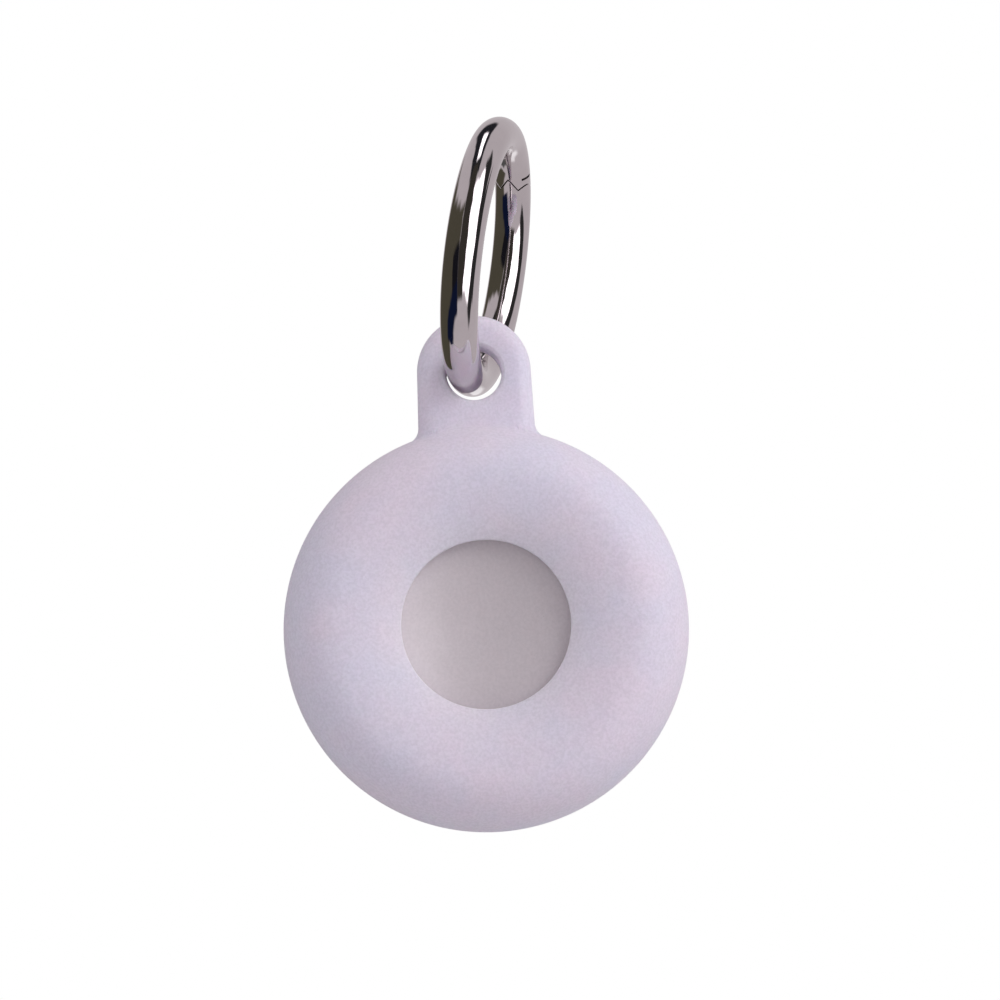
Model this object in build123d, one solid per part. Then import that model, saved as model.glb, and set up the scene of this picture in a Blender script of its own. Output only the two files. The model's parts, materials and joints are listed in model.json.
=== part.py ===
"""Bluetooth tracker tag in a silicone holder, hung from a spring-gate ring. Millimetres.

Row frame: +X right, +Y away from the viewer (the front faces -Y), +Z up. The origin is the hang point, on
the inside of the ring at its top. The tag is modelled about its own centre, its axis along Y. The ring is
modelled about its own centre, its axis along X. Both are then moved to their places.
"""

import os
from math import copysign, cos, hypot, radians, sin, sqrt, tan

from build123d import *

os.makedirs("parts", exist_ok=True)

# ---------------------------------------------------------------- the silicone holder
SLEEVE_WALL = 3.8  # from the tracker's pocket to the outer edge
CREST_INSET = 5.5  # the front crest stands this far inside the outer edge
FRONT_DISH = 1.65  # from the crest back to the outer edge of the window lip
LIP_T = 0.9  # thickness of the window lip
WINDOW_D = 16.5  # front window
REAR_OPENING_GAP = 0.5  # from the battery cover to the edge of the rear opening
REAR_LIP_T = 1.35  # thickness of the rear lip at its edge
REAR_DISH = 0.7  # from the rear lip's edge back to the rear land
REAR_LAND_W = 1.2  # flat land on the rear crest, which the tag rests on
REAR_LAND_INSET = 6.0  # the land starts this far inside the outer edge
POCKET_GAP = 0.2  # between the tracker and its pocket

LUG_BAND = 2.95  # material on each side of the hole
LUG_T = 3.6  # thickness of the lug
LUG_FLARE = 0.15  # each side leans out by this much down to the body
LUG_ROOT_R = 1.6  # concave fillet from the lug to the body
LUG_EDGE_R = 1.1  # rounding of the lug's edges
LUG_H = 11.45  # height of the lug above the top of the body
HOLE_CLEAR = 1.8  # hole in the lug, larger than the ring's wire by this much
HOLE_H = 5.4  # centre of the hole above the top of the body
HOLE_RIM_R = 0.4  # rounding of the hole's rims
LUG_SINK = 0.1  # the lug's flat outline joins the body this far inside its edge

# ---------------------------------------------------------------- the ring
RING_OD = 28.2  # outside diameter of the ring
WIRE_D = 3.7  # diameter of its wire
RING_LEAN = 11.6  # degrees that the ring's axis dips to the right
RING_YAW = 9.1  # degrees that the ring's far side is turned to the right
WIRE_IN_HOLE = (-0.55, -0.1)  # X and Z of the wire's centre from the hole's centre
PIN_ANGLE = 131.0  # the gate's hinge pin, in degrees down the far side from the ring's top
LATCH_ANGLE = 40.0  # the latch seam on the wire's centre line
PIN_D = 1.2  # hinge pin
PIN_CLEAR = 0.05  # radial running clearance of the pin in the gate's tongue
SEAM = 0.10  # gap between the gate and the ring body
SLOT_W = 1.7  # slot in the fork
SLOT_RELIEF = 0.5  # depth of the slot beyond the tongue's end
TONGUE_W = 1.0  # the gate's tongue, which lies to one side of the slot
TONGUE_SIDE = 0.1  # clearance of the tongue to the slot's wall
TONGUE_INSET = 0.05  # the tongue's round end lies this far inside the wire's surface
TOOTH_DEPTH = 0.95  # depth of the zigzag latch seam
LATCH_LIP_T = 0.75  # lip over the gate's end, on the outside of the ring
LATCH_LIP_L = 0.9  # length of that lip
LATCH_GROOVE_W = 0.3  # narrow groove beside the latch
LATCH_GROOVE_L = 1.9
LATCH_GROOVE_DEPTH = 0.55
LATCH_GROOVE_INSET = 0.95  # its middle inside the wire's centre line
LATCH_GROOVE_ANGLE = 29.5  # its middle, in degrees down the far side from the top
LATCH_GROOVE_TURN = 47.0  # its direction, in degrees from upright
SPRING_WIRE_D = 0.3
SPRING_SIDE = 0.1  # clearance of the spring to its neighbours
SPRING_COIL_CLEAR = 0.1  # the coil to the pin
SPRING_LEG_L = 1.4
GATE_START = 15.0  # the gate's side of the ring starts this far round from the top

# ---------------------------------------------------------------- the tracker
PUCK_D = 32.0  # the tracker's diameter
PUCK_T = 8.0  # its thickness at the rims
FRONT_CORNER_R = 3.0
REAR_CORNER_R = 2.5
SHELL_T = 1.0  # wall of the front cover
DISH_D = 18.4  # shallow dish in the middle of the front cover
DISH_DEPTH = 1.1
DISH_FLOOR_T = 0.8
SPIGOT_H = 0.55  # the rear bezel's spigot, from the web to the shell's seam
SHELL_SEAM = 0.05

CELL_D = 20.0  # coin cell
CELL_T = 3.2
CELL_WALL = 0.25
CELL_GAP = 0.3  # cell to the puck's rear face
CONTACT_T = 0.4  # height of the negative contact under the cell

WEB_T = 0.35  # web of the inner frame
CUP_CLEAR = 0.15  # cell to the cup wall
CUP_WALL = 0.6
CUP_H = 2.05
LEDGE_H = 0.75  # the ledge that the board stands on
BOARD_T = 0.6
BOARD_CLEAR = 0.2  # the board's edge to the rim wall
BOARD_ID = 12.0
RIM_WALL = 0.8  # rim wall of the inner frame
RIM_CLEAR = 0.3  # rim wall to the front cover's wall
LEDGE_W = 0.9  # how far the ledge reaches under the board

CAN_SIZE = (4.2, 0.85, 6.0)  # the shield can: radial, height, across
CAN_WALL = 0.15
CAN_ANGLE = 20.0
PARTS_R = 10.6  # the circle that the components stand on
RADIO_SIZE = (3.2, 0.5, 3.2)
ACCELEROMETER_SIZE = (2.0, 0.7, 2.0)
ACCELEROMETER_ANGLE = 75.0
CRYSTAL_SIZE = (1.6, 0.5, 2.0)
CRYSTAL_ANGLE = 110.0
CAPACITOR_SIZE = (0.5, 0.5, 1.0)
CAPACITOR_R = PARTS_R + 0.9  # on the board's front
REAR_CAPACITOR_R = PARTS_R - 1.6  # on the board's rear
INDUCTOR_SIZE = (1.0, 0.8, 1.8)
INDUCTOR_R = PARTS_R - 1.4
ANTENNA_T = 0.15
ANTENNA_ARC = 110.0
NFC_INSET = 2.4  # the near-field coil to the front cover's wall
NFC_W = 2.0
NFC_T = 0.15

POSITIVE_ANGLES = (60, 240)
POSITIVE_SLOT = (1.6, 3.0)  # the slots for them in the cup and the web: radial, across
NEGATIVE_ANGLE = 150
NEGATIVE_LEG_R = 7.2
NEGATIVE_SLOT = (0.8, 2.4)
CONTACT_W = 1.8
CONTACT_LEG_T = 0.2
CONTACT_LEAF_T = 0.12
CONTACT_NOSE = (0.3, 1.2)  # depth and width of the nose that touches the cell
CONTACT_NOSE_Y = 0.9  # the nose behind the cell's front face
NOSE_GAP = 0.02  # the nose to the cell's side
LEAF_OVERHANG = 1.9  # the leaf past the middle of the cell
DIMPLE_R = 0.8
CAN_EDGE = 0.4  # the cell's can starts this far behind its front face
GASKET_W = 0.85
CAP_END = 0.75  # the cell's cap ends this far before its rear face

COVER_MARGIN = 2.7  # the battery cover is larger than the cell by this much on each side
COVER_SKIN = 0.35
COVER_DOME = 0.5
COVER_CLEAR = 0.1
COVER_SEAT_GAP = 0.02  # the cover's rim to the floor of its seat
SEAT_DEPTH = 0.4  # the cover's seat in the rear bezel
BEZEL_LIP_T = 0.5  # bayonet lip
GROOVE_H = 0.75  # bayonet groove
TAB_COUNT = 3
TAB_ARC = 26.0  # degrees
TAB_TURN = 25.0  # degrees from locked to free
TAB_T = 0.5
TAB_CLEAR = 0.12
TAB_ENTRY = 4.0  # the entries in the lip are this many degrees wider than the tabs
CARRIER_INSET = 1.1  # the carrier's wall inside the cover's edge
TAB_INSET = 0.25  # the tabs' ends inside the cover's edge
CARRIER_CELL_GAP = 0.3
SHELF_DEPTH = 0.6  # the bezel's inner shelf, below the bayonet groove
SPIGOT_CLEAR = 0.1
FOAM_R = 6.0
FOAM_GAP = 0.02
SEAL_CUP_GAP = 0.3
SEAL_GAP = 0.03  # the seal to the carrier in front of it
SEAL_T = 0.55

BASKET_CLEAR = 0.4  # the speaker's basket in the board's hole
BASKET_WALL = 0.5
BASKET_BASE = 0.4
BASKET_LIP = 0.1  # the basket's wall stands this far past the diaphragm
YOKE_R = 3.45
YOKE_WALL = 0.5
YOKE_BASE = 0.3
YOKE_CLEAR = 0.05
MAGNET_R = 1.9
POLE_FREE = 0.45  # the pole plate to the diaphragm, more than its travel
POLE_T = 0.2
POLE_OVERHANG = 0.1
COIL_IN_R = 2.25
COIL_WALL = 0.4
COIL_FREE = 0.4  # the coil to the floor of the yoke, more than its travel
DIAPHRAGM_T = 0.15
DIAPHRAGM_EDGE = 0.2  # the diaphragm to the basket's wall
DIAPHRAGM_FREE = 0.25  # the diaphragm to the front cover, more than its travel

# ---------------------------------------------------------------- derived places on the tag's own axis (Y)
SLEEVE_T = FRONT_DISH + LIP_T + PUCK_T + 2 * POCKET_GAP + REAR_LIP_T + REAR_DISH  # over the crests
CREST_Y = SLEEVE_T / 2
LIP_OUT_Y = -CREST_Y + FRONT_DISH
LIP_IN_Y = LIP_OUT_Y + LIP_T
FACE_Y = LIP_IN_Y + POCKET_GAP  # front rim of the tracker
REAR_Y = FACE_Y + PUCK_T
REAR_LIP_IN_Y = REAR_Y + POCKET_GAP
CELL_REAR_Y = REAR_Y - CELL_GAP
CELL_FRONT_Y = CELL_REAR_Y - CELL_T
WEB_REAR_Y = CELL_FRONT_Y - CONTACT_T
WEB_FRONT_Y = WEB_REAR_Y - WEB_T
BOARD_REAR_Y = WEB_FRONT_Y - LEDGE_H
BOARD_FRONT_Y = BOARD_REAR_Y - BOARD_T
SPIGOT_Y = WEB_REAR_Y + SHELL_SEAM
SPLIT_Y = SPIGOT_Y + SPIGOT_H
DISH_Y = FACE_Y + DISH_DEPTH
SEAT_Y = REAR_Y - SEAT_DEPTH
LIP_FRONT_Y = SEAT_Y - BEZEL_LIP_T
GROOVE_FRONT_Y = LIP_FRONT_Y - GROOVE_H

PUCK_R = PUCK_D / 2
POCKET_R = PUCK_R + POCKET_GAP
SLEEVE_R = POCKET_R + SLEEVE_WALL
CAVITY_R = PUCK_R - SHELL_T
RIM_OUT_R = CAVITY_R - RIM_CLEAR
BOARD_R = RIM_OUT_R - RIM_WALL - BOARD_CLEAR
CELL_R = CELL_D / 2
CAP_R = CELL_R - CELL_WALL - GASKET_W
CUP_IN_R = CELL_R + CUP_CLEAR
CUP_OUT_R = CUP_IN_R + CUP_WALL
COVER_R = CELL_R + COVER_MARGIN
SEAT_R = COVER_R + COVER_CLEAR
CARRIER_OUT_R = COVER_R - CARRIER_INSET
TAB_R = COVER_R - TAB_INSET
LIP_R = CARRIER_OUT_R + TAB_CLEAR
GROOVE_R = TAB_R + TAB_CLEAR

# ---------------------------------------------------------------- derived places of the lug and the ring
WIRE_R = WIRE_D / 2
HOLE_R = WIRE_R + HOLE_CLEAR / 2
HOLE_Z = SLEEVE_R + HOLE_H
RING_R = RING_OD / 2 - WIRE_R  # centre line
RING_PLACE = Rot(0, 0, -RING_YAW) * Rot(0, RING_LEAN, 0)


def ring_up(length):
    """A vector of that length along the ring's own up direction, in the row frame."""
    lean, yaw = radians(RING_LEAN), radians(RING_YAW)
    return Vector(sin(lean) * cos(yaw), -sin(lean) * sin(yaw), cos(lean)) * length


RING_CENTRE = ring_up(-(RING_R - WIRE_R))
RING_LOWEST = RING_CENTRE + ring_up(-RING_R)
HOLE_CENTRE = RING_LOWEST - Vector(WIRE_IN_HOLE[0], 0, WIRE_IN_HOLE[1])
TAG_CENTRE = HOLE_CENTRE - Vector(0, 0, HOLE_Z)


# ---------------------------------------------------------------- helpers for the tag (axis Y)
def disc(radius, front, rear):
    """A round disc on the tag's axis, from y = front to y = rear."""
    return Pos(0, (front + rear) / 2, 0) * Rot(90, 0, 0) * Cylinder(radius, rear - front)


def washer(outer, inner, front, rear):
    return disc(outer, front, rear) - disc(inner, front - 1, rear + 1)


def turned(edges):
    """Turns a closed outline, x = radius and y along the axis, about the tag's axis."""
    return revolve(make_face(edges), Axis.Y, 360)


def corner(centre, radius, start, end):
    """A round corner of an outline, from one angle to another."""
    mid = (start + end) / 2
    turns = [radians(angle) for angle in (start, mid, end)]
    return ThreePointArc(*[(centre[0] + radius * cos(a), centre[1] + radius * sin(a)) for a in turns])


def cap_y(r, radius, centre_y, edge_y):
    """Where a shallow round cap lies at a distance r from the axis: it runs from centre_y out to edge_y."""
    rise = edge_y - centre_y
    sphere = (radius**2 + rise**2) / (2 * rise)
    return centre_y + sphere - copysign(sqrt(sphere**2 - r**2), sphere)


def cap_arc(radius, centre_y, edge_y):
    """The outline of such a cap, from the axis outwards."""
    middle = radius / 2
    return ThreePointArc((0, centre_y), (middle, cap_y(middle, radius, centre_y, edge_y)), (radius, edge_y))


def sector(outer, inner, front, rear, middle, arc):
    """A part of a washer, arc degrees wide about the angle middle, counted from +X towards +Z."""
    reach = 2 * outer
    rise = reach * tan(radians(arc / 2))
    outline = Polyline((0, 0), (reach, -rise), (reach, rise), close=True)
    wedge = extrude(make_face(outline), rear - front, both=True)
    wedge = Pos(0, (front + rear) / 2, 0) * Rot(0, -middle, 0) * Rot(90, 0, 0) * wedge
    return washer(outer, inner, front, rear) & wedge


def at_angle(shape, radius, angle, y=0.0):
    """Carries a shape made at the axis out to a radius, at an angle from +X towards +Z."""
    return Rot(0, -angle, 0) * Pos(radius, y, 0) * shape


def block(radial, depth, across):
    """A box with its front face at y = 0: radial along X, depth along Y, across along Z."""
    return Pos(0, depth / 2, 0) * Box(radial, depth, across)


# ---------------------------------------------------------------- the silicone holder
def sleeve_body():
    """The doughnut: elliptical outside, with a dished front, a rear lip and the tracker's pocket."""
    out_r = SLEEVE_R
    window_r = WINDOW_D / 2
    rear_r = COVER_R + REAR_OPENING_GAP
    crest_r = out_r - CREST_INSET
    land_in = out_r - REAR_LAND_INSET
    land_out = land_in + REAR_LAND_W
    front_c = FRONT_CORNER_R + POCKET_GAP
    rear_c = REAR_CORNER_R + POCKET_GAP
    rear_lip_y = REAR_LIP_IN_Y + REAR_LIP_T
    edges = Line((window_r, LIP_IN_Y), (window_r, LIP_OUT_Y))
    edges += TangentArc((crest_r, -CREST_Y), (window_r, LIP_OUT_Y), tangent=(-1, 0))
    edges += EllipticalCenterArc((crest_r, 0), CREST_INSET, CREST_Y, start_angle=-90, arc_size=90)
    edges += EllipticalCenterArc((land_out, 0), out_r - land_out, CREST_Y, start_angle=0, arc_size=90)
    edges += Line((land_out, CREST_Y), (land_in, CREST_Y))
    edges += TangentArc((land_in, CREST_Y), (rear_r, rear_lip_y), tangent=(-1, 0))
    edges += Line((rear_r, rear_lip_y), (rear_r, REAR_LIP_IN_Y))
    edges += Line((rear_r, REAR_LIP_IN_Y), (POCKET_R - rear_c, REAR_LIP_IN_Y))
    edges += corner((POCKET_R - rear_c, REAR_LIP_IN_Y - rear_c), rear_c, 90, 0)
    edges += Line((POCKET_R, REAR_LIP_IN_Y - rear_c), (POCKET_R, LIP_IN_Y + front_c))
    edges += corner((POCKET_R - front_c, LIP_IN_Y + front_c), front_c, 0, -90)
    edges += Line((POCKET_R - front_c, LIP_IN_Y), (window_r, LIP_IN_Y))
    return turned(edges)


def lug():
    """The flat lug: a round top on nearly straight sides, with concave fillets into the body's outline."""
    out_r = SLEEVE_R - LUG_SINK
    top_r = HOLE_R + LUG_BAND
    top_z = SLEEVE_R + LUG_H - top_r
    foot = top_r + LUG_FLARE
    foot_z = sqrt(out_r**2 - foot**2)
    sides = Polyline(
        (-top_r, top_z),
        (top_r, top_z),
        (foot, foot_z),
        (foot, 0),
        (-foot, 0),
        (-foot, foot_z),
        close=True,
    )
    outline = Circle(out_r) + Pos(0, top_z) * Circle(top_r) + make_face(sides)
    roots = [v for v in outline.vertices() if abs(v.Y - foot_z) < 0.01 and abs(abs(v.X) - foot) < 0.01]
    outline = fillet(roots, LUG_ROOT_R)
    slab = extrude(outline, LUG_T / 2, both=True)
    slab = fillet(slab.faces().filter_by(Axis.Z).edges(), LUG_EDGE_R)
    slab -= Cylinder((out_r + POCKET_R) / 2, 2 * LUG_T)
    return Rot(90, 0, 0) * slab


def silicone_sleeve():
    holder = sleeve_body() + lug()
    bore = Pos(0, 0, HOLE_Z) * Rot(90, 0, 0) * Cylinder(HOLE_R, 2 * LUG_T)
    holder -= bore
    rims = [e for e in holder.edges().filter_by(GeomType.CIRCLE) if abs(e.radius - HOLE_R) < 0.01]
    return fillet(rims, HOLE_RIM_R)


# ---------------------------------------------------------------- the tracker's shell
def front_cover():
    """The pale front cover: a dished face and a side wall down to the shell's seam."""
    flat_in = DISH_D / 2
    inner_c = FRONT_CORNER_R - SHELL_T
    inner_face = FACE_Y + SHELL_T
    floor_y = DISH_Y + DISH_FLOOR_T
    step = flat_in * sqrt((floor_y - inner_face) / DISH_DEPTH)
    edges = cap_arc(flat_in, DISH_Y, FACE_Y)
    edges += Line((flat_in, FACE_Y), (PUCK_R - FRONT_CORNER_R, FACE_Y))
    edges += corner((PUCK_R - FRONT_CORNER_R, FACE_Y + FRONT_CORNER_R), FRONT_CORNER_R, -90, 0)
    edges += Line((PUCK_R, FACE_Y + FRONT_CORNER_R), (PUCK_R, SPLIT_Y - SHELL_SEAM))
    edges += Line((PUCK_R, SPLIT_Y - SHELL_SEAM), (CAVITY_R, SPLIT_Y - SHELL_SEAM))
    edges += Line((CAVITY_R, SPLIT_Y - SHELL_SEAM), (CAVITY_R, inner_face + inner_c))
    edges += corner((CAVITY_R - inner_c, inner_face + inner_c), inner_c, 0, -90)
    edges += Line((CAVITY_R - inner_c, inner_face), (step, inner_face))
    edges += cap_arc(step, floor_y, inner_face)
    edges += Line((0, floor_y), (0, DISH_Y))
    return turned(edges)


def rear_bezel():
    """The rear ring of the shell: the cover's seat, the bayonet lip and groove, and a spigot."""
    spigot_r = CAVITY_R - SPIGOT_CLEAR
    shelf_r = CUP_OUT_R + 2 * SPIGOT_CLEAR
    shelf_y = GROOVE_FRONT_Y - SHELF_DEPTH
    edges = Line((PUCK_R, SPLIT_Y), (PUCK_R, REAR_Y - REAR_CORNER_R))
    edges += corner((PUCK_R - REAR_CORNER_R, REAR_Y - REAR_CORNER_R), REAR_CORNER_R, 0, 90)
    edges += Polyline(
        (PUCK_R - REAR_CORNER_R, REAR_Y),
        (SEAT_R, REAR_Y),
        (SEAT_R, SEAT_Y),
        (LIP_R, SEAT_Y),
        (LIP_R, LIP_FRONT_Y),
        (GROOVE_R, LIP_FRONT_Y),
        (GROOVE_R, shelf_y),
        (shelf_r, shelf_y),
        (shelf_r, SPIGOT_Y),
        (spigot_r, SPIGOT_Y),
        (spigot_r, SPLIT_Y),
        (PUCK_R, SPLIT_Y),
    )
    bezel = turned(edges)
    for i in range(TAB_COUNT):
        entry = 360 / TAB_COUNT * i + TAB_TURN
        bezel -= sector(GROOVE_R, LIP_R - TAB_T, LIP_FRONT_Y, SEAT_Y, entry, TAB_ARC + TAB_ENTRY)
    return bezel


def inner_frame():
    """The chassis: a web, a cup for the cell behind it, and a ledge and rim wall for the board in front."""
    frame = disc(RIM_OUT_R, WEB_FRONT_Y, WEB_REAR_Y)
    frame += washer(CUP_OUT_R, CUP_IN_R, WEB_REAR_Y, WEB_REAR_Y + CUP_H)
    frame += washer(RIM_OUT_R, BOARD_R - LEDGE_W, BOARD_REAR_Y, WEB_FRONT_Y)
    inner_c = FRONT_CORNER_R - SHELL_T
    corner_y = FACE_Y + SHELL_T + inner_c
    reach = RIM_OUT_R - (CAVITY_R - inner_c)
    rim_top = corner_y - sqrt(inner_c**2 - reach**2) + 0.1
    frame += washer(RIM_OUT_R, RIM_OUT_R - RIM_WALL, rim_top, BOARD_REAR_Y)
    for angle in POSITIVE_ANGLES:
        slot = block(POSITIVE_SLOT[0], CUP_H + WEB_T, POSITIVE_SLOT[1])
        frame -= at_angle(slot, CUP_IN_R + CUP_WALL / 2, angle, WEB_FRONT_Y)
    slot = block(NEGATIVE_SLOT[0], WEB_T, NEGATIVE_SLOT[1])
    frame -= at_angle(slot, NEGATIVE_LEG_R, NEGATIVE_ANGLE, WEB_FRONT_Y)
    return frame


# ---------------------------------------------------------------- the board and what is on it
def circuit_board():
    return washer(BOARD_R, BOARD_ID / 2, BOARD_FRONT_Y, BOARD_REAR_Y)


def on_front(size, radius, angle):
    """A component that stands on the board's front face."""
    radial, height, across = size
    return at_angle(block(radial, height, across), radius, angle, BOARD_FRONT_Y - height)


def on_rear(size, radius, angle):
    """A component that hangs from the board's rear face."""
    radial, height, across = size
    return at_angle(block(radial, height, across), radius, angle, BOARD_REAR_Y)



def shield_can():
    can = on_front(CAN_SIZE, PARTS_R, CAN_ANGLE)
    radial, height, across = CAN_SIZE
    inside = (radial - 2 * CAN_WALL, height - CAN_WALL, across - 2 * CAN_WALL)
    return can - on_front(inside, PARTS_R, CAN_ANGLE)


def radio_chip():
    return on_front(RADIO_SIZE, PARTS_R, CAN_ANGLE)


def accelerometer():
    return on_front(ACCELEROMETER_SIZE, PARTS_R, ACCELEROMETER_ANGLE)


def crystal():
    return on_front(CRYSTAL_SIZE, PARTS_R, CRYSTAL_ANGLE)


def chip_capacitors():
    front = [on_front(CAPACITOR_SIZE, CAPACITOR_R, angle) for angle in range(135, 325, 20)]
    rear = [on_rear(CAPACITOR_SIZE, REAR_CAPACITOR_R, angle) for angle in range(0, 360, 45)]
    return Compound(children=front + rear)


def chip_inductors():
    return Compound(children=[on_front(INDUCTOR_SIZE, INDUCTOR_R, angle) for angle in (150, 180, 210)])


def bluetooth_antenna():
    """A copper band on the outside of the frame's rim."""
    return sector(RIM_OUT_R + ANTENNA_T, RIM_OUT_R, BOARD_FRONT_Y, WEB_REAR_Y, 90, ANTENNA_ARC)


def nfc_coil():
    inner_face = FACE_Y + SHELL_T
    outer = CAVITY_R - NFC_INSET
    return washer(outer, outer - NFC_W, inner_face, inner_face + NFC_T)


# ---------------------------------------------------------------- the speaker
BASKET_R = BOARD_ID / 2 - BASKET_CLEAR
DIAPHRAGM_Y = DISH_Y + DISH_FLOOR_T + DIAPHRAGM_FREE
YOKE_FLOOR_Y = WEB_FRONT_Y - YOKE_BASE
POLE_FRONT_Y = DIAPHRAGM_Y + DIAPHRAGM_T + POLE_FREE
POLE_REAR_Y = POLE_FRONT_Y + POLE_T


def speaker_basket():
    base = washer(BASKET_R, YOKE_R + YOKE_CLEAR, WEB_FRONT_Y - BASKET_BASE, WEB_FRONT_Y)
    wall = washer(BASKET_R, BASKET_R - BASKET_WALL, DIAPHRAGM_Y - BASKET_LIP, WEB_FRONT_Y - BASKET_BASE)
    return base + wall


def magnet_yoke():
    base = disc(YOKE_R, YOKE_FLOOR_Y, WEB_FRONT_Y)
    return base + washer(YOKE_R, YOKE_R - YOKE_WALL, POLE_FRONT_Y, YOKE_FLOOR_Y)


def speaker_magnet():
    return disc(MAGNET_R, POLE_REAR_Y, YOKE_FLOOR_Y)


def pole_plate():
    return disc(MAGNET_R + POLE_OVERHANG, POLE_FRONT_Y, POLE_REAR_Y)


def speaker_diaphragm():
    return disc(BASKET_R - BASKET_WALL - DIAPHRAGM_EDGE, DIAPHRAGM_Y, DIAPHRAGM_Y + DIAPHRAGM_T)


def voice_coil():
    front = DIAPHRAGM_Y + DIAPHRAGM_T
    return washer(COIL_IN_R + COIL_WALL, COIL_IN_R, front, YOKE_FLOOR_Y - COIL_FREE)


# ---------------------------------------------------------------- the battery, its contacts and its cover
def positive_contacts():
    """Two upright springs that touch the side of the cell, each with a leg down to the board."""
    springs = []
    for angle in POSITIVE_ANGLES:
        top = WEB_REAR_Y + CUP_H
        leg_r = CUP_IN_R + CUP_WALL / 2
        leg = at_angle(block(CONTACT_LEG_T, top - BOARD_REAR_Y, CONTACT_W), leg_r, angle, BOARD_REAR_Y)
        nose_l = leg_r - CELL_R - NOSE_GAP
        nose = block(nose_l, *CONTACT_NOSE)
        springs.append(leg + at_angle(nose, leg_r - nose_l / 2, angle, CELL_FRONT_Y + CONTACT_NOSE_Y))
    return Compound(children=springs)


def negative_contact():
    """A leaf on the web with a dimple under the cell and a leg down to the board."""
    leaf_l = NEGATIVE_LEG_R + CONTACT_LEG_T / 2 + LEAF_OVERHANG
    leaf_rear = WEB_REAR_Y + CONTACT_LEAF_T
    leaf = block(leaf_l, CONTACT_LEAF_T, CONTACT_W)
    leaf = at_angle(leaf, leaf_l / 2 - LEAF_OVERHANG, NEGATIVE_ANGLE, WEB_REAR_Y)
    dimple = disc(DIMPLE_R, leaf_rear, CELL_FRONT_Y)
    leg = block(CONTACT_LEG_T, leaf_rear - BOARD_REAR_Y, CONTACT_W)
    leg = at_angle(leg, NEGATIVE_LEG_R, NEGATIVE_ANGLE, BOARD_REAR_Y)
    return leaf + dimple + leg


def battery_can():
    can = disc(CELL_R, CELL_FRONT_Y + CAN_EDGE, CELL_REAR_Y)
    return can - disc(CELL_R - CELL_WALL, CELL_FRONT_Y, CELL_REAR_Y - CELL_WALL)


def battery_cap():
    cap = disc(CAP_R, CELL_FRONT_Y, CELL_REAR_Y - CAP_END)
    return cap - disc(CAP_R - CELL_WALL, CELL_FRONT_Y + CELL_WALL, CELL_REAR_Y)


def battery_gasket():
    return washer(CELL_R - CELL_WALL, CAP_R, CELL_FRONT_Y + CAN_EDGE, CELL_REAR_Y - CELL_WALL)


def battery_core():
    return disc(CAP_R - CELL_WALL, CELL_FRONT_Y + CELL_WALL, CELL_REAR_Y - CELL_WALL)


RIM_FRONT_Y = SEAT_Y + COVER_SEAT_GAP  # underside of the cover's rim in its seat


def under_cover(radius):
    """Height of the battery cover's underside at a radius."""
    return cap_y(radius, COVER_R, RIM_FRONT_Y + COVER_DOME, RIM_FRONT_Y)


def battery_cover():
    """The pressed steel skin: a shallow dome with its rim in the bezel's seat."""
    rim_rear = RIM_FRONT_Y + COVER_SKIN
    edges = cap_arc(COVER_R, rim_rear + COVER_DOME, rim_rear)
    edges += Line((COVER_R, rim_rear), (COVER_R, RIM_FRONT_Y))
    edges += cap_arc(COVER_R, RIM_FRONT_Y + COVER_DOME, RIM_FRONT_Y)
    edges += Line((0, RIM_FRONT_Y + COVER_DOME), (0, rim_rear + COVER_DOME))
    return turned(edges)


def cover_carrier():
    """The plastic ring under the cover, with three bayonet tabs that turn in the bezel's groove."""
    carrier = washer(CARRIER_OUT_R, CELL_R + CARRIER_CELL_GAP, GROOVE_FRONT_Y, under_cover(CARRIER_OUT_R))
    for i in range(TAB_COUNT):
        tab_rear = LIP_FRONT_Y - TAB_CLEAR
        root_r = CARRIER_OUT_R - CARRIER_CELL_GAP
        carrier += sector(TAB_R, root_r, tab_rear - TAB_T, tab_rear, 360 / TAB_COUNT * i, TAB_ARC)
    return carrier


def cover_foam_pad():
    return disc(FOAM_R, CELL_REAR_Y + FOAM_GAP, under_cover(FOAM_R) - FOAM_GAP)


def seal_ring():
    rear = GROOVE_FRONT_Y - SEAL_GAP
    return washer(CARRIER_OUT_R, CUP_OUT_R + SEAL_CUP_GAP, rear - SEAL_T, rear)


# ---------------------------------------------------------------- the ring (axis X, about its own centre)
def on_wire(angle):
    """Y and Z of the wire's centre line, at an angle down the far side from the top."""
    return RING_R * sin(radians(angle)), RING_R * cos(radians(angle))


PIN_Y, PIN_Z = on_wire(PIN_ANGLE)
LATCH_Y, LATCH_Z = on_wire(LATCH_ANGLE)
LATCH_REACH = hypot(LATCH_Y - PIN_Y, LATCH_Z - PIN_Z)  # hinge pin to latch seam
EAR_R = WIRE_R
TONGUE_R = WIRE_R - TONGUE_INSET
TONGUE_MIDDLE = -SLOT_W / 2 + TONGUE_SIDE + TONGUE_W / 2
SLOT_R = WIRE_R + SLOT_RELIEF


def wire_ring():
    return Rot(0, 90, 0) * Torus(RING_R, WIRE_R)


def at_pin(radius, width, middle=0.0):
    """A drum about the hinge pin's axis."""
    return Pos(middle, PIN_Y, PIN_Z) * Rot(0, 90, 0) * Cylinder(radius, width)


def gate_wedge():
    """The space between the ring's top and the hinge pin, on the far side, seen from the ring's centre."""
    reach = 2 * RING_OD
    start = radians(GATE_START)
    end = radians(PIN_ANGLE)
    outline = Polyline(
        (0, 0),
        (reach * sin(start), reach * cos(start)),
        (reach, 0),
        (reach * sin(end), reach * cos(end)),
        close=True,
    )
    face = Plane.YZ * make_face(outline)
    return extrude(face, WIRE_D, both=True)


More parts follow.
